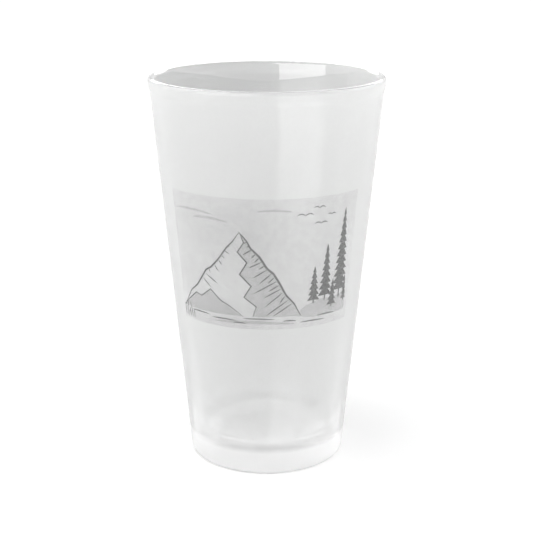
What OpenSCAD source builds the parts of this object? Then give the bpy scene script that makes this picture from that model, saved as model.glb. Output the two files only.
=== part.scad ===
// Frosted conical pint glass with a printed picture panel wrapped round its front.
// Millimetres. +Z is up, the origin is the centre of the base on the table, the picture faces -Y.

/* [Glass] */
// Height of the glass
glass_h = 149.2; // [130:0.1:170]
// Diameter over the rim, the widest part
rim_d = 88.9; // [80:0.1:96]
// Diameter of the tapered wall where it would meet the table
base_d = 60; // [50:0.1:68]
// Radius of the rounded heel
heel_r = 2; // [1:0.1:3]
// Radius of the rounded lip, half the lip's thickness
lip_r = 1.4; // [1:0.05:1.6]
// How far the rim bead stands out of the wall
bead_t = 0.3; // [0.1:0.05:0.6]
// Height of the rim bead below the lip
bead_h = 3.2; // [2.5:0.1:6]
// Height over which the bead fades into the wall
bead_blend = 2.4; // [1:0.1:5]

/* [Inside] */
// Wall thickness just above the floor
wall_low = 5.2; // [3:0.1:6]
// Height of the inside floor at its edge
floor_h = 10.4; // [7:0.1:16]
// Slope of the dished floor at its edge, in degrees
floor_slope = 3.5; // [1:0.5:6]
// Radius between the floor and the wall
corner_r = 6; // [3:0.5:9]

/* [Underside] */
// Height of the hollow pushed up into the base
push_up = 1.6; // [0.5:0.1:3]
// Radius of that hollow
push_up_r = 19.5; // [14:0.5:21]
// Number of short grip grooves across the bearing ring
groove_count = 60; // [24:4:72]
// Depth of each groove
groove_depth = 0.25; // [0.1:0.05:0.35]
// Radius of the round cutter that makes a groove
groove_r = 0.5; // [0.4:0.1:0.8]
// Length of each groove
groove_len = 4.4; // [2:0.2:5]

/* [Frosting] */
// Thickness of the frosted film on the outside
frost_t = 0.12; // [0.08:0.01:0.2]
// How far down the round heel the film starts, in degrees below level
frost_start = 60; // [20:5:75]
// How far up the round lip the film ends, in degrees above level
frost_end = 50; // [10:5:80]

/* [Printed panel] */
// Width of the picture, round the wall at its mid height
print_w = 75; // [60:1:90]
// Height of the picture's lower edge
print_z0 = 61; // [58:0.5:62]
// Height of the picture's upper edge
print_z1 = 111; // [110:0.5:125]
// Turn of the picture's middle from straight ahead, in degrees
print_turn = -1.8; // [-10:0.1:10]
// Thickness of each layer of ink
ink_t = 0.1; // [0.08:0.01:0.15]

/* [Hidden] */
$fn = 144;
eps = 0.01;

// Outside of the glass: a cone, with a low bead at the rim
rim_r = rim_d / 2;
base_r = base_d / 2;
lip_z = glass_h - lip_r;
lip_x = rim_r - lip_r;
taper = atan((rim_r - bead_t - base_r) / lip_z);
bead_z = glass_h - bead_h - bead_blend;
bead_steps = 6;

// Inside of the glass: a steeper cone that thickens downwards
low_in_r = base_r + floor_h * tan(taper) - wall_low;
in_taper = atan((lip_x - lip_r - low_in_r) / (lip_z - floor_h));
corner_z = floor_h + corner_r * cos(floor_slope);
corner_x = low_in_r + (corner_z - floor_h) * tan(in_taper) - corner_r / cos(in_taper);
floor_r = corner_x + corner_r * sin(floor_slope);
dish = floor_r * tan(floor_slope) / 2;

// Heel, underside and film
heel_x = base_r + heel_r * tan(taper) - heel_r / cos(taper);
groove_mid = (push_up_r + heel_x) / 2;
arc_steps = 12;
bowl_steps = 8;

// Picture: drawn in millimetres round the wall and up it, with 0 at the picture's middle
print_mid = (print_z0 + print_z1) / 2;
print_r = base_r + print_mid * tan(taper);
print_angle = print_w / print_r * 180 / PI;
outline_w = 0.62;
hatch_w = 0.42;
fine_w = 0.34;

function wall_r(z) = base_r + z * tan(taper);
function smooth(t) = t <= 0 ? 0 : t >= 1 ? 1 : t * t * (3 - 2 * t);
function outer_r(z) = wall_r(z) + bead_t * smooth((z - bead_z) / bead_blend);
function arc(x, z, r, from, to) =
    [for (i = [0:arc_steps]) let (a = from + (to - from) * i / arc_steps) [x + r * cos(a), z + r * sin(a)]];
function backwards(list) = [for (i = [len(list) - 1:-1:0]) list[i]];

// The outside from one height to another, with the bead's curve in between
function outer_curve(from, to) =
    let (heights = concat([from], [for (i = [0:bead_steps]) bead_z + bead_blend * i / bead_steps], [to]))
    [for (z = heights) [outer_r(z), z]];

// Half section of the glass, from the axis under the base, round the wall, to the axis on the floor
function underside_curve() =
    [for (i = [0:bowl_steps]) let (t = i / bowl_steps) [push_up_r * t, push_up * (1 - t * t)]];
function floor_curve() =
    [for (i = [bowl_steps:-1:0]) let (t = i / bowl_steps) [floor_r * t, floor_h - dish * (1 - t * t)]];
function glass_section() = concat(
    underside_curve(),
    arc(heel_x, heel_r, heel_r, -90, -taper),
    outer_curve(bead_z - 1, bead_z + bead_blend + eps),
    arc(lip_x, lip_z, lip_r, -taper, 180 - in_taper),
    arc(corner_x, corner_z, corner_r, -in_taper, floor_slope - 90),
    floor_curve()
);

// The film: round the heel, up the wall and on to the lip. Each face is "lift" above the bare glass
function film_face(lift) = concat(
    arc(heel_x, heel_r, heel_r + lift, -frost_start, -taper),
    [for (p = outer_curve(heel_r, bead_z + bead_blend + eps)) [p[0] + lift, p[1]]],
    arc(lip_x, lip_z, lip_r + lift, -taper, frost_end)
);
function film_section() = concat(film_face(0), backwards(film_face(frost_t)));

// A layer of ink of thickness t on the cone, "lift" above the bare glass
function cone_section(from, to, lift, t) = [
    [wall_r(from) + lift, from],
    [wall_r(from) + lift + t, from],
    [wall_r(to) + lift + t, to],
    [wall_r(to) + lift, to]
];

// ---- Picture drawing: a generic lake below a mountain, with pines and birds ----

// A point of the flat drawing, seen from the front once it is wrapped on the cone
function wrapped(p) =
    let (r = wall_r(p[1]) + frost_t + ink_t)
    [r * sin(p[0] / print_r * 180 / PI + print_turn), p[1]];

function bezier(a, b, c, steps) =
    [for (i = [0:steps]) let (t = i / steps) a * (1 - t) * (1 - t) + b * 2 * t * (1 - t) + c * t * t];
function line(a, b, steps) = [for (i = [0:steps]) a + (b - a) * i / steps];

// The two sides of a brush stroke that is full in its middle and fine at both ends
function side_of(path, i, reach) =
    let (
        n = len(path) - 1,
        d = path[min(i + 1, n)] - path[max(i - 1, 0)],
        swell = 0.25 + 0.75 * pow(sin(180 * i / n), 0.6)
    )
    path[i] + [-d[1], d[0]] / norm(d) * reach * swell;
function stroke(path, w) = concat(
    [for (i = [0:len(path) - 1]) side_of(path, i, w / 2)],
    [for (i = [len(path) - 1:-1:0]) side_of(path, i, -w / 2)]
);

// Outline of a pine: rows of boughs up one side and down the other, on a short trunk
function bough(h, w, tiers, i, side) =
    let (
        step = h * 0.9 / tiers,
        z = h * 0.1 + i * step,
        tip = w / 2 * pow(1 - i / tiers, 0.8),
        next = w / 2 * pow(max(1 - (i + 1) / tiers, 0), 0.8)
    )
    [[side * (tip + 0.12), z - step * 0.12], [side * (next * 0.45 + 0.1), z + step * 0.82]];
function pine(x, z, h, w, tiers) =
    let (
        right = [for (i = [0:tiers - 1]) each bough(h, w, tiers, i, 1)],
        left = [for (i = [0:tiers - 1]) each bough(h, w, tiers, i, -1)],
        trunk = 0.3,
        sides = concat([[trunk, 0], [trunk, h * 0.09]], right, [[0, h]], backwards(left))
    )
    [for (p = concat(sides, [[-trunk, h * 0.09], [-trunk, 0]])) p + [x, z]];

// The mountain: its two outer ridges, and the spine where the lit side meets the shaded one
summit = [-8.5, 98.5];
left_ridge = [summit, [-11.4, 94.4], [-13.4, 92.4], [-16.8, 87.6], [-20.2, 84], [-22.6, 82.6],
    [-27.4, 76], [-31.2, 73], [-36.6, 66]];
spine = [summit, [-7.2, 94.6], [-9.6, 91], [-6.2, 87], [-9, 82.4], [-4.8, 78], [-7.6, 73.6],
    [-3, 70], [-4.4, 66]];
right_ridge = [summit, [-5.8, 95.2], [-4.6, 92.6], [-1.4, 89.4], [1.2, 85], [3.6, 83], [6.2, 78.6],
    [8.4, 74.4], [11.6, 71], [14.4, 66]];
shore_z = 66;
foothill = [[-37, 66], [-33, 69.2], [-28.6, 72.6], [-25.8, 71.8], [-21.2, 75.2], [-17, 71.4],
    [-13.2, 69.6], [-8, 66]];
bank = [[12, 66], [16, 69.6], [22, 71.6], [29, 71.2], [35.8, 72.6], [35.8, 65], [20, 64.6]];
pines = [[31.6, 70.6, 35, 7.6, 12], [24.4, 70.8, 22, 6, 8], [19.4, 70.2, 14.6, 5, 6],
    [28, 67.6, 11, 4.4, 5], [34.6, 68.6, 10.4, 2.6, 5]];
birds = [[14.6, 104.2, 3.1], [19.8, 106.8, 2.3], [20.8, 100.8, 2.6], [25, 103.8, 1.7]];
clouds = [[-27, 104.6, 8.5], [-20, 102.4, 6.5], [4, 106.4, 6]];

function x_on(edge, z) = lookup(z, [for (p = edge) [p[1], p[0]]]);

module ink(points) {
    polygon([for (p = points) wrapped(p)]);
}

// Strokes that start at one ridge and run down the face towards the other edge
module face_strokes(from_edge, to_edge, count, low, high, reach, w) {
    for (i = [0:count - 1]) {
        z = low + (high - low) * i / (count - 1);
        long = reach * (0.7 + 0.3 * sin(i * 137));
        width = x_on(to_edge, z) - x_on(from_edge, z);
        end_z = z - abs(width) * long * 0.5;
        end_width = x_on(to_edge, end_z) - x_on(from_edge, end_z);
        start = [x_on(from_edge, z) + width * 0.06, z];
        end = [x_on(from_edge, end_z) + end_width * long, end_z];
        ink(stroke(line(start, end, 4), w));
    }
}

module bird(x, z, w) {
    for (side = [-1, 1])
        ink(stroke(bezier([x, z], [x + side * w * 0.35, z + w * 0.55], [x + side * w, z + w * 0.1], 6), fine_w));
}

module mountain_lines() {
    ink(stroke(left_ridge, outline_w));
    ink(stroke(right_ridge, outline_w * 1.3));
    ink(stroke([for (p = spine) p + [0.2, 0]], outline_w));
    ink(stroke(foothill, hatch_w));
    face_strokes(right_ridge, spine, 17, 71, 95, 0.8, hatch_w);
    face_strokes(left_ridge, spine, 8, 79, 93, 0.42, fine_w);
}

module shore_lines() {
    for (i = [0:6]) {
        x = -27 + i * 9 + 2 * sin(i * 97);
        long = 4.2 + 1.8 * sin(i * 151);
        z = shore_z - 0.9 - 0.9 * (i % 3);
        ink(stroke(bezier([x - long, z], [x, z + 0.3], [x + long, z - 0.1], 8), fine_w * 1.25));
    }
}

module reeds() {
    for (i = [0:5]) {
        x = -36.6 + i * 1.15;
        lean = 1.4 * sin(i * 71);
        tall = 4.4 + 1.7 * sin(i * 113);
        ink(stroke(bezier([x, 61.8], [x, 61.8 + tall * 0.6], [x + lean, 61.8 + tall], 5), fine_w));
    }
}

module midtone_art() {
    ink(concat(right_ridge, backwards(spine)));
    ink(foothill);
    ink(bank);
    ink(stroke(bezier([-20, 63], [-4, 64.6], [12, 63], 8), 1.2));
    for (c = clouds)
        ink(stroke(bezier([c[0] - c[2], c[1]], [c[0], c[1] + 1.2], [c[0] + c[2], c[1] - 0.3], 10), 0.9));
}

module line_art() {
    mountain_lines();
    shore_lines();
    reeds();
    for (p = pines)
        ink(pine(p[0], p[1], p[2], p[3], p[4]));
    for (b = birds)
        bird(b[0], b[1], b[2]);
}

// Flat ink shapes, pressed on to the panel as a layer of even thickness
module ink_layer() {
    intersection() {
        rotate_extrude()
            polygon(cone_section(print_z0 - 1, print_z1 + 1, frost_t + ink_t, ink_t));
        rotate([90, 0, 0])
            linear_extrude(height = rim_r + 1)
                children();
    }
}

// ---- Sub-parts ----

module glass_body() {
    color([0.86, 0.9, 0.9, 0.4])
        difference() {
            rotate_extrude()
                polygon(glass_section());
            for (i = [0:groove_count - 1])
                rotate([0, 90, (i + 0.5) * 360 / groove_count])
                    translate([groove_r - groove_depth, 0, groove_mid - groove_len / 2])
                        cylinder(r = groove_r, h = groove_len, $fn = 24);
        }
}

module frost_coating() {
    color([0.94, 0.94, 0.94, 0.6])
        rotate_extrude()
            polygon(film_section());
}

module print_ground() {
    color([0.8, 0.8, 0.8])
        rotate([0, 0, print_turn - 90 - print_angle / 2])
            rotate_extrude(angle = print_angle)
                polygon(cone_section(print_z0, print_z1, frost_t, ink_t));
}

module print_midtones() {
    color([0.62, 0.62, 0.62])
        ink_layer()
            difference() {
                midtone_art();
                line_art();
            }
}

module print_linework() {
    color([0.3, 0.3, 0.3])
        ink_layer()
            line_art();
}

glass_body();
frost_coating();
print_ground();
print_midtones();
print_linework();
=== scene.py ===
import math

import bmesh
import bpy
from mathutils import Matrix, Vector, noise


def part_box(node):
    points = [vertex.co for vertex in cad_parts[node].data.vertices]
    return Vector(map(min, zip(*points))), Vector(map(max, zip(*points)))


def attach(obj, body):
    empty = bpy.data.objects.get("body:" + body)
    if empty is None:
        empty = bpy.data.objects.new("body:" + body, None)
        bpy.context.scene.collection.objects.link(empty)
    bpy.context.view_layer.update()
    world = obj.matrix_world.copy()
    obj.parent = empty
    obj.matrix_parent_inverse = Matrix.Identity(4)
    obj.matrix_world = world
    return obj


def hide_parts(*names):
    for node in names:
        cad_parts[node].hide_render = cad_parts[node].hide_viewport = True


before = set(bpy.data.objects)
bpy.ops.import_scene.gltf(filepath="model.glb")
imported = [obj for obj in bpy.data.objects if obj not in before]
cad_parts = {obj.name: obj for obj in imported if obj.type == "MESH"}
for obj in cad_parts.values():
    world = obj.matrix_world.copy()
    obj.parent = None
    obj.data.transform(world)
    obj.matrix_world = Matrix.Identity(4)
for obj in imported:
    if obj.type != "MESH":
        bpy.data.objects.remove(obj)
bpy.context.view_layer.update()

MM = 0.001

# ---- Sizes that the turned pieces share with the CAD model ----
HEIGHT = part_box("glass_body")[1][2]
RIM_R = 44.45 * MM
BASE_R = 30 * MM
HEEL_R = 2 * MM
LIP_R = 1.4 * MM
BEAD_T = 0.3 * MM
BEAD_H = 3.2 * MM
BEAD_BLEND = 2.4 * MM
WALL_LOW = 5.2 * MM
FLOOR_H = 10.4 * MM
FLOOR_SLOPE = math.radians(3.5)
CORNER_R = 6 * MM
PUSH_UP = 1.6 * MM
PUSH_UP_R = 19.5 * MM
GROOVES = 60
GROOVE_DEPTH = 0.25 * MM
GROOVE_LEN = 4.4 * MM
GROOVE_HALF_W = 0.5 * MM
FROST_T = 0.12 * MM
FROST_START = math.radians(60)
FROST_END = math.radians(50)
INK_T = 0.1 * MM

# No two faces lie on each other: the frosting keys into the glass, and each ink layer starts clear
# of what it is printed on
FROST_KEY = -0.01 * MM
SKIN_GAP = 0.015 * MM
WELD = 0.004 * MM

LIP_Z = HEIGHT - LIP_R
LIP_X = RIM_R - LIP_R
TAPER = (RIM_R - BEAD_T - BASE_R) / LIP_Z
TAPER_A = math.atan(TAPER)
BEAD_Z = HEIGHT - BEAD_H - BEAD_BLEND
LOW_IN_R = BASE_R + FLOOR_H * TAPER - WALL_LOW
IN_TAPER = (LIP_X - LIP_R - LOW_IN_R) / (LIP_Z - FLOOR_H)
IN_TAPER_A = math.atan(IN_TAPER)
CORNER_Z = FLOOR_H + CORNER_R * math.cos(FLOOR_SLOPE)
CORNER_X = LOW_IN_R + (CORNER_Z - FLOOR_H) * IN_TAPER - CORNER_R / math.cos(IN_TAPER_A)
FLOOR_R = CORNER_X + CORNER_R * math.sin(FLOOR_SLOPE)
DISH = FLOOR_R * math.tan(FLOOR_SLOPE) / 2
HEEL_X = BASE_R + HEEL_R * TAPER - HEEL_R / math.cos(TAPER_A)
HEEL_TOP = HEEL_R * (1 - math.sin(TAPER_A))
GROOVE_MID = (PUSH_UP_R + HEEL_X) / 2

BEAD_TOP = BEAD_Z + BEAD_BLEND + 0.2 * MM

SEGMENTS = 360
RING_STEP = 3 * MM
INK_EDGE = 1.2 * MM
WAVE_DEPTH = 0.035 * MM
WAVE_FREQUENCY = (55, 55, 22)


# ---- Mesh tools ----
def smooth_step(t):
    t = min(max(t, 0.0), 1.0)
    return t * t * (3 - 2 * t)


def wall_r(z):
    return BASE_R + z * TAPER


def outer_r(z):
    return wall_r(z) + BEAD_T * smooth_step((z - BEAD_Z) / BEAD_BLEND)


def spread(start, end, count):
    return [start + (end - start) * i / count for i in range(count + 1)]


def arc(x, z, r, start, end, count):
    return [(x + r * math.cos(a), z + r * math.sin(a)) for a in spread(start, end, count)]


def heights(low, high):
    """Ring heights up the wall: even steps on the cone, and finer ones through the bead."""
    straight = spread(low, BEAD_Z, max(1, round((BEAD_Z - low) / RING_STEP)))
    bead = spread(BEAD_Z, BEAD_Z + BEAD_BLEND, 12)[1:]
    return straight + bead + [high]


def turned(name, section, closed):
    """Turns a section of (radius, height) points round Z. An open section starts and ends on the axis."""
    verts, faces, rings = [], [], []
    for r, z in section:
        if r < 1e-7:
            rings.append([len(verts)])
            verts.append((0, 0, z))
            continue
        rings.append(range(len(verts), len(verts) + SEGMENTS))
        verts += [
            (r * math.sin(a), -r * math.cos(a), z)
            for a in (2 * math.pi * i / SEGMENTS for i in range(SEGMENTS))
        ]
    pairs = list(zip(rings, rings[1:]))
    if closed:
        pairs.append((rings[-1], rings[0]))
    for low, high in pairs:
        for i in range(SEGMENTS):
            j = (i + 1) % SEGMENTS
            if len(low) == 1:
                faces.append((low[0], high[j], high[i]))
            elif len(high) == 1:
                faces.append((low[i], low[j], high[0]))
            else:
                faces.append((low[i], low[j], high[j], high[i]))
    return new_object(name, verts, faces)


def new_object(name, verts, faces):
    mesh = bpy.data.meshes.new(name)
    mesh.from_pydata(verts, [], faces)
    mesh.validate()
    obj = bpy.data.objects.new(name, mesh)
    bpy.context.scene.collection.objects.link(obj)
    smooth(obj, 180)
    return obj


def smooth(obj, angle):
    obj.data.shade_smooth()
    if angle < 180:
        obj.data.set_sharp_from_angle(angle=math.radians(angle))


# ---- The glass ----
def glass_section():
    underside = [(PUSH_UP_R * t, PUSH_UP * (1 - t * t)) for t in spread(0, 1, 16)]
    ring = [(r, 0.0) for r in spread(PUSH_UP_R, HEEL_X, 14)[1:-1]]
    heel = arc(HEEL_X, HEEL_R, HEEL_R, -math.pi / 2, -TAPER_A, 16)
    wall = [(outer_r(z), z) for z in heights(RING_STEP, BEAD_TOP)]
    lip = arc(LIP_X, LIP_Z, LIP_R, -TAPER_A, math.pi - IN_TAPER_A, 32)
    corner = arc(CORNER_X, CORNER_Z, CORNER_R, -IN_TAPER_A, FLOOR_SLOPE - math.pi / 2, 24)
    low, high = corner[0][1], lip[-1][1]
    inside = [
        (LOW_IN_R + (z - FLOOR_H) * IN_TAPER, z)
        for z in spread(high, low, round((high - low) / RING_STEP))[1:-1]
    ]
    floor = [(FLOOR_R * t, FLOOR_H - DISH * (1 - t * t)) for t in spread(1, 0, 14)[1:]]
    return underside + ring + heel + wall + lip + inside + corner + floor


def make_glass():
    obj = turned("pint_glass", glass_section(), closed=False)
    press_grooves(obj.data)
    wave_inside(obj.data)
    return obj


def press_grooves(mesh):
    """Short shallow grooves across the bearing ring, one every few degrees."""
    pitch = 2 * math.pi / GROOVES
    for v in mesh.vertices:
        r = math.hypot(v.co.x, v.co.y)
        if v.co.z > 1e-6 or abs(r - GROOVE_MID) > GROOVE_LEN / 2:
            continue
        a = math.atan2(v.co.x, -v.co.y) / pitch
        off = abs(a - math.floor(a) - 0.5) * pitch * r
        v.co.z += GROOVE_DEPTH * max(0.0, 1 - off / GROOVE_HALF_W)


def wave_inside(mesh):
    """The faint waviness of a pressed inner wall."""
    for v in mesh.vertices:
        r = math.hypot(v.co.x, v.co.y)
        middle = wall_r(v.co.z) - 1.5 * MM
        if v.co.z < CORNER_Z or v.co.z > LIP_Z - 2 * MM or r > middle:
            continue
        fade = smooth_step((v.co.z - CORNER_Z) / (8 * MM)) * smooth_step((LIP_Z - v.co.z) / (12 * MM))
        lump = noise.noise(v.co * Vector(WAVE_FREQUENCY))
        v.co.xy *= 1 + WAVE_DEPTH / r * lump * fade


# ---- The skins on the glass ----
def make_frosting():
    """From under the heel, up the wall, and half-way over the lip."""
    faces = [frosting_face(FROST_KEY)[::-1], frosting_face(FROST_T)]
    obj = turned("frosting", faces[0] + faces[1], closed=True)
    flip_if_inside_out(obj.data)
    return obj


def frosting_face(lift):
    heel = arc(HEEL_X, HEEL_R, HEEL_R + lift, -FROST_START, -TAPER_A, 10)
    zs = heights(HEEL_TOP + RING_STEP / 2, BEAD_TOP)
    lip = arc(LIP_X, LIP_Z, LIP_R + lift, -TAPER_A, FROST_END, 14)
    return heel + [(outer_r(z) + lift, z) for z in zs] + lip


def flip_if_inside_out(mesh):
    bm = bmesh.new()
    bm.from_mesh(mesh)
    bmesh.ops.recalc_face_normals(bm, faces=bm.faces)
    if bm.calc_volume(signed=True) < 0:
        bmesh.ops.reverse_faces(bm, faces=bm.faces)
    bm.to_mesh(mesh)
    bm.free()


def make_ink(name, node, low_lift):
    """An ink layer: the CAD outline, cut finer and pressed on to the turned wall."""
    bm = bmesh.new()
    bm.from_mesh(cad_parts[node].data)
    weld(bm)
    for _ in range(6):
        long_edges = [e for e in bm.edges if round_length(e) > INK_EDGE]
        if not long_edges:
            break
        bmesh.ops.subdivide_edges(bm, edges=long_edges, cuts=1)
        bmesh.ops.triangulate(bm, faces=[f for f in bm.faces if len(f.verts) > 3])
    for v in bm.verts:
        r = math.hypot(v.co.x, v.co.y)
        lift = r - wall_r(v.co.z)
        top = lift > low_lift + INK_T / 2
        new_lift = low_lift + INK_T if top else low_lift + SKIN_GAP
        v.co.xy *= (wall_r(v.co.z) + new_lift) / r
    weld(bm)
    bmesh.ops.recalc_face_normals(bm, faces=bm.faces)
    mesh = bpy.data.meshes.new(name)
    bm.to_mesh(mesh)
    bm.free()
    obj = bpy.data.objects.new(name, mesh)
    bpy.context.scene.collection.objects.link(obj)
    smooth(obj, 40)
    return obj


def weld(bm):
    """Joins points that lie together, and takes away the slivers that this folds flat."""
    bmesh.ops.remove_doubles(bm, verts=bm.verts, dist=WELD)
    bmesh.ops.dissolve_degenerate(bm, dist=WELD, edges=bm.edges)
    bmesh.ops.triangulate(bm, faces=[f for f in bm.faces if len(f.verts) > 3])
    spare, first = [], {}
    for f in bm.faces:
        twin = first.pop(frozenset(f.verts), None)
        if twin:
            spare += [twin, f]
        else:
            first[frozenset(f.verts)] = f
    bmesh.ops.delete(bm, geom=spare, context="FACES")
    bmesh.ops.holes_fill(bm, edges=bm.edges, sides=4)


def round_length(edge):
    """How far an edge runs round the wall, which is where a straight edge leaves the cone."""
    a, b = (v.co for v in edge.verts)
    return math.hypot(a.x - b.x, a.y - b.y)


# ---- Materials ----
def material(name):
    mat = bpy.data.materials.new(name)
    mat.use_nodes = True
    nodes = mat.node_tree.nodes
    nodes.clear()
    out = nodes.new("ShaderNodeOutputMaterial")
    return mat, nodes, mat.node_tree.links, out


def noise_node(nodes, links, scale, detail=4.0, stretch=(1, 1, 1)):
    coord = nodes.new("ShaderNodeTexCoord")
    mapping = nodes.new("ShaderNodeMapping")
    mapping.inputs["Scale"].default_value = stretch
    tex = nodes.new("ShaderNodeTexNoise")
    tex.inputs["Scale"].default_value = scale
    tex.inputs["Detail"].default_value = detail
    links.new(coord.outputs["Object"], mapping.inputs["Vector"])
    links.new(mapping.outputs["Vector"], tex.inputs["Vector"])
    return tex


def ranged(nodes, links, source, low, high, start=0.3, end=0.7):
    """Maps the part of an output from start to end on to the range from low to high."""
    node = nodes.new("ShaderNodeMapRange")
    node.interpolation_type = "SMOOTHSTEP"
    node.inputs["From Min"].default_value = start
    node.inputs["From Max"].default_value = end
    node.inputs["To Min"].default_value = low
    node.inputs["To Max"].default_value = high
    links.new(source, node.inputs["Value"])
    return node.outputs["Result"]


def distance_to(nodes, links, place, stretch):
    """Distance from a place on the object, with each axis stretched."""
    coord = nodes.new("ShaderNodeTexCoord")
    gap = nodes.new("ShaderNodeVectorMath")
    gap.operation = "SUBTRACT"
    gap.inputs[1].default_value = place
    scaled = nodes.new("ShaderNodeVectorMath")
    scaled.operation = "MULTIPLY"
    scaled.inputs[1].default_value = stretch
    length = nodes.new("ShaderNodeVectorMath")
    length.operation = "LENGTH"
    links.new(coord.outputs["Object"], gap.inputs[0])
    links.new(gap.outputs["Vector"], scaled.inputs[0])
    links.new(scaled.outputs["Vector"], length.inputs[0])
    return length.outputs["Value"]


def added(nodes, links, first, second):
    node = nodes.new("ShaderNodeMath")
    links.new(first, node.inputs[0])
    links.new(second, node.inputs[1])
    return node.outputs["Value"]


def bump_node(nodes, links, height, strength, distance):
    node = nodes.new("ShaderNodeBump")
    node.inputs["Strength"].default_value = strength
    node.inputs["Distance"].default_value = distance
    links.new(height, node.inputs["Height"])
    return node.outputs["Normal"]


def glass_material():
    mat, nodes, links, out = material("clear_glass")
    glass = nodes.new("ShaderNodeBsdfPrincipled")
    glass.inputs["Base Color"].default_value = (0.99, 0.994, 0.992, 1)
    glass.inputs["Transmission Weight"].default_value = 1.0
    glass.inputs["IOR"].default_value = 1.5
    glass.inputs["Roughness"].default_value = 0.01
    wave = noise_node(nodes, links, 60, 2.0, (1, 1, 0.4))
    links.new(bump_node(nodes, links, wave.outputs["Fac"], 0.12, 0.2 * MM), glass.inputs["Normal"])
    links.new(glass.outputs["BSDF"], out.inputs["Surface"])
    return mat


def skin_material(
    name, color, opacity, spread_opacity, grain_scale, roughness, translucency, sheen=0.0, tone_and_painted_light=()
):
    """A thin film: part of the light goes straight through, the rest is scattered to both sides.

    Each entry of the last argument is a cloud: its place, the stretch of each axis, the distances between
    which it fades out, and the opacity that it adds, or takes away if that is negative. On an ink a cloud
    is a tone of the print; on the white frosting a cloud that adds opacity is a painted highlight.
    """
    mat, nodes, links, out = material(name)
    film = nodes.new("ShaderNodeBsdfPrincipled")
    film.inputs["Base Color"].default_value = (*color, 1)
    film.inputs["Roughness"].default_value = roughness
    film.inputs["Sheen Weight"].default_value = sheen
    film.inputs["Sheen Roughness"].default_value = 0.4
    through = nodes.new("ShaderNodeBsdfTranslucent")
    through.inputs["Color"].default_value = (*color, 1)
    body = nodes.new("ShaderNodeMixShader")
    body.inputs["Fac"].default_value = translucency
    clear = nodes.new("ShaderNodeBsdfTransparent")
    mix = nodes.new("ShaderNodeMixShader")
    grain = noise_node(nodes, links, grain_scale, 3.0)
    opaque = ranged(nodes, links, grain.outputs["Fac"], opacity - spread_opacity, opacity + spread_opacity)
    for place, stretch, reach, extra in tone_and_painted_light:
        cloud = ranged(nodes, links, distance_to(nodes, links, place, stretch), extra, 0.0, *reach)
        opaque = added(nodes, links, opaque, cloud)
    normal = bump_node(nodes, links, grain.outputs["Fac"], 0.15, 0.02 * MM)
    links.new(normal, film.inputs["Normal"])
    links.new(film.outputs["BSDF"], body.inputs[1])
    links.new(through.outputs["BSDF"], body.inputs[2])
    links.new(opaque, mix.inputs["Fac"])
    links.new(clear.outputs["BSDF"], mix.inputs[1])
    links.new(body.outputs["Shader"], mix.inputs[2])
    links.new(mix.outputs["Shader"], out.inputs["Surface"])
    return mat


def floor_material():
    """A lit white table: its own glow carries the whiteness, and its paper takes the soft shadows."""
    mat, nodes, links, out = material("studio_floor")
    paper = nodes.new("ShaderNodeBsdfPrincipled")
    paper.inputs["Base Color"].default_value = (0.8, 0.8, 0.8, 1)
    paper.inputs["Roughness"].default_value = 0.9
    paper.inputs["Specular IOR Level"].default_value = 0.0
    paper.inputs["Emission Color"].default_value = (1, 1, 1, 1)
    paper.inputs["Emission Strength"].default_value = FLOOR_GLOW
    links.new(paper.outputs["BSDF"], out.inputs["Surface"])
    return mat


# ---- Studio ----
# Brightness of the room towards each side, above and below the level of the table. Each is a broad
# soft lobe, and together they fade evenly. What is below is seen only through the glass.
ROOM = {
    "FRONT": 1.15, "BACK": 1.0, "LEFT": 1.4, "RIGHT": 2.2, "TOP": 0.3,
    "LOW_FRONT": 0.2, "LOW_BACK": 0.38, "LOW_SIDES": 2.2, "LOW_DOWN": 1.05,
}
CAMERA_SIDE = -0.13 * MM
CAMERA_BACK = 468 * MM
CAMERA_UP = 212.2 * MM
CAMERA_PITCH = math.radians(16.39)
CAMERA_LENS = 84.28
FLOOR_SIZE = 16.0
SEEN_WHITE = 1.0
FLOOR_GLOW = 0.23
WINDOW = 4.0
RIM = 3.0
KEY = 4.6
CARD_NEAR = 4.0
CARD_MIDDLE = 1.4
CARD_FAR = 3.2
CARD_RIGHT = 3.2
CARD_LEFT = 3.0


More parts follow.
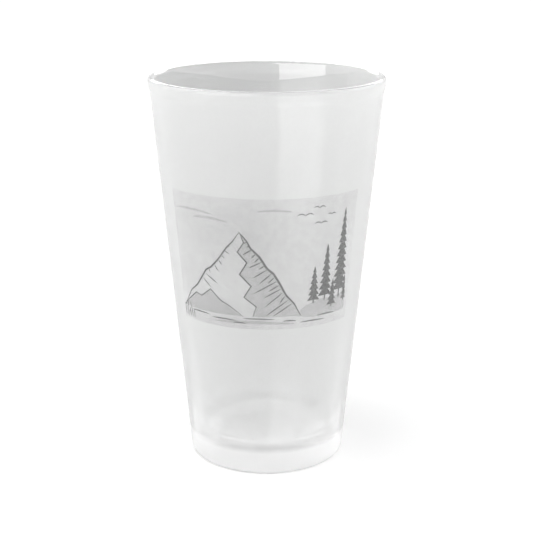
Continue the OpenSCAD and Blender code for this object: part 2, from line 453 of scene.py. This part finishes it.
def make_world():
    """White to the camera. To everything else a pale room, brighter on some sides than on others."""
    world = bpy.data.worlds.new("studio")
    bpy.context.scene.world = world
    world.use_nodes = True
    nodes, links = world.node_tree.nodes, world.node_tree.links
    nodes.clear()
    out = nodes.new("ShaderNodeOutputWorld")
    coord = nodes.new("ShaderNodeTexCoord")
    split = nodes.new("ShaderNodeSeparateXYZ")
    links.new(coord.outputs["Generated"], split.inputs["Vector"])

    def math_node(operation, first, second):
        node = nodes.new("ShaderNodeMath")
        node.operation = operation
        for value, socket in ((first, node.inputs[0]), (second, node.inputs[1])):
            if isinstance(value, float):
                socket.default_value = value
            else:
                links.new(value, socket)
        return node.outputs["Value"]

    def lobe(axis, sign):
        facing = math_node("MULTIPLY", split.outputs[axis], sign)
        return math_node("POWER", math_node("MAXIMUM", facing, 0.0), 2.0)

    level = math_node("MULTIPLY", split.outputs["Z"], 20.0)
    above = math_node("MINIMUM", math_node("MAXIMUM", math_node("ADD", level, 0.5), 0.0), 1.0)
    below = math_node("SUBTRACT", 1.0, above)
    front, back = lobe("Y", -1.0), lobe("Y", 1.0)
    left, right = lobe("X", -1.0), lobe("X", 1.0)
    lobes = {
        "FRONT": (front, above),
        "BACK": (back, above),
        "LEFT": (left, above),
        "RIGHT": (right, above),
        "TOP": (lobe("Z", 1.0), above),
        "LOW_FRONT": (front, below),
        "LOW_BACK": (back, below),
        "LOW_SIDES": (math_node("ADD", left, right), below),
        "LOW_DOWN": (lobe("Z", -1.0), below),
    }
    total = 0.0
    for side, (shape, half) in lobes.items():
        light = math_node("MULTIPLY", math_node("MULTIPLY", shape, half), ROOM[side])
        total = math_node("ADD", total, light)
    room_light = background(nodes)
    links.new(total, room_light.inputs["Strength"])
    seen = background(nodes)
    seen.inputs["Strength"].default_value = SEEN_WHITE
    path = nodes.new("ShaderNodeLightPath")
    mix = nodes.new("ShaderNodeMixShader")
    links.new(path.outputs["Is Camera Ray"], mix.inputs["Fac"])
    links.new(room_light.outputs["Background"], mix.inputs[1])
    links.new(seen.outputs["Background"], mix.inputs[2])
    links.new(mix.outputs["Shader"], out.inputs["Surface"])


def background(nodes):
    node = nodes.new("ShaderNodeBackground")
    node.inputs["Color"].default_value = (1, 1, 1, 1)
    return node


def soft_box(name, azimuth, distance, height_at, width, height, radiance):
    """A rectangular lamp that faces the glass. Azimuth 0 is the camera's side, positive to its right."""
    lamp = bpy.data.lights.new(name, "AREA")
    lamp.shape = "RECTANGLE"
    lamp.size, lamp.size_y = width, height
    lamp.energy = radiance * width * height * math.pi
    obj = bpy.data.objects.new(name, lamp)
    a = math.radians(azimuth)
    obj.location = (math.sin(a) * distance, -math.cos(a) * distance, height_at)
    way = obj.location - Vector((0, 0, HEIGHT / 2))
    obj.rotation_euler = way.to_track_quat("Z", "Y").to_euler()
    obj.visible_camera = False
    bpy.context.scene.collection.objects.link(obj)
    return obj


def make_card(name, corners, height, glow):
    """A glowing card low beside the glass, seen only as a soft reflection on its wall."""
    card = new_object(name, [(x * MM, y * MM, height * MM) for x, y in corners], [range(len(corners))])
    card.data.materials.append(glow)
    card.visible_camera = card.visible_diffuse = card.visible_transmission = card.visible_shadow = False


def even_glow(name, strength):
    mat, nodes, links, out = material(name)
    glow = nodes.new("ShaderNodeEmission")
    glow.inputs["Strength"].default_value = strength
    links.new(glow.outputs["Emission"], out.inputs["Surface"])
    return mat


def graded_glow(name):
    """Bright close to the glass, dimmer in the middle, and bright again far off."""
    mat, nodes, links, out = material(name)
    glow = nodes.new("ShaderNodeEmission")
    coord = nodes.new("ShaderNodeTexCoord")
    away = nodes.new("ShaderNodeVectorMath")
    away.operation = "LENGTH"
    links.new(coord.outputs["Object"], away.inputs[0])
    near = ranged(nodes, links, away.outputs["Value"], CARD_NEAR - CARD_MIDDLE, 0.0, 0.05, 0.1)
    far = ranged(nodes, links, away.outputs["Value"], CARD_MIDDLE, CARD_FAR, 0.14, 0.3)
    strength = added(nodes, links, near, far)
    links.new(strength, glow.inputs["Strength"])
    links.new(glow.outputs["Emission"], out.inputs["Surface"])
    return mat


def make_camera():
    data = bpy.data.cameras.new("camera")
    data.lens = CAMERA_LENS
    data.sensor_width = 36
    data.clip_start = 0.01
    obj = bpy.data.objects.new("camera", data)
    obj.location = (CAMERA_SIDE, -CAMERA_BACK, CAMERA_UP)
    obj.rotation_euler = (math.pi / 2 - CAMERA_PITCH, 0, 0)
    bpy.context.scene.collection.objects.link(obj)
    bpy.context.scene.camera = obj


def make_floor():
    """Rays that come out of the glass miss the floor, and see the dimmer lower half of the room instead."""
    half = FLOOR_SIZE / 2
    corners = [(-half, -half, 0), (half, -half, 0), (half, half, 0), (-half, half, 0)]
    floor = new_object("floor", corners, [(0, 1, 2, 3)])
    floor.data.materials.append(floor_material())
    floor.visible_transmission = False


def finish_piece(obj, mat, node):
    obj.data.materials.clear()
    obj.data.materials.append(mat)
    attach(obj, "root")
    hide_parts(node)


make_camera()
make_world()
# The window shows as the band inside the back wall, the rim light draws the lip, and the key light
# only throws the shadow
window = soft_box("window_light", -41, 0.6, 0.36, 0.68, 0.75, WINDOW)
window.visible_diffuse = False
rim = soft_box("rim_light", 180, 0.9, 0.5, 1.4, 0.3, RIM)
rim.visible_diffuse = rim.visible_transmission = False
key = soft_box("key_light", -58, 0.85, 4.0, 1.8, 1.8, KEY)
key.visible_glossy = key.visible_transmission = False
make_card("front_card", [(0, -45), (34, -45), (460, -290), (112, -570)], 3, graded_glow("front_glow"))
make_card("right_card", [(19, -31), (46, -54), (62, 20), (33, -3)], 1, even_glow("right_glow", CARD_RIGHT))
make_card("left_card", [(-33, -3), (-62, 20), (-52, -40), (-26, -22)], 1, even_glow("left_glow", CARD_LEFT))
make_floor()

finish_piece(make_glass(), glass_material(), "glass_body")
# The cloud round the foot makes the frosting more opaque below about 10 mm. This is a painted highlight
# that whitens the base band in place of the light on the thick base.
finish_piece(
    make_frosting(),
    skin_material("frosting_film", (0.98, 0.98, 0.98), 0.39, 0.03, 9000, 0.5, 0.2, sheen=1.0,
                  tone_and_painted_light=[((0, 0, 0), (0, 0, 1), (8.5 * MM, 11.5 * MM), 0.4)]),
    "frost_coating",
)
finish_piece(
    make_ink("picture_ground", "print_ground", FROST_T),
    skin_material("pale_ink", (0.35, 0.35, 0.35), 0.045, 0.015, 400, 0.5, 0.2,
                  tone_and_painted_light=[((-10 * MM, -38 * MM, 97 * MM), (1, 0.3, 1.3), (2 * MM, 22 * MM), 0.035),
                          ((-16 * MM, -36 * MM, 64 * MM), (0.8, 0.3, 2.2), (2 * MM, 20 * MM), 0.03),
                          ((33 * MM, -19 * MM, 82 * MM), (1, 1, 0.4), (2 * MM, 16 * MM), -0.03),
                          ((-33 * MM, -18 * MM, 64 * MM), (1, 1, 0.8), (2 * MM, 14 * MM), -0.03)]),
    "print_ground",
)
finish_piece(
    make_ink("picture_midtones", "print_midtones", FROST_T + INK_T),
    skin_material("mid_ink", (0.3, 0.3, 0.3), 0.09, 0.03, 2500, 0.5, 0.2),
    "print_midtones",
)
finish_piece(
    make_ink("picture_lines", "print_linework", FROST_T + INK_T),
    skin_material("dark_ink", (0.08, 0.08, 0.08), 0.38, 0.08, 2500, 0.45, 0.1),
    "print_linework",
)

# Enough bounces for light to cross both walls, the thick base and every film on the way
scene = bpy.context.scene
scene.view_settings.view_transform = "Standard"
scene.cycles.max_bounces = 24
scene.cycles.transmission_bounces = 24
scene.cycles.diffuse_bounces = 8
scene.cycles.glossy_bounces = 8
scene.cycles.transparent_max_bounces = 48
scene.cycles.use_denoising = True
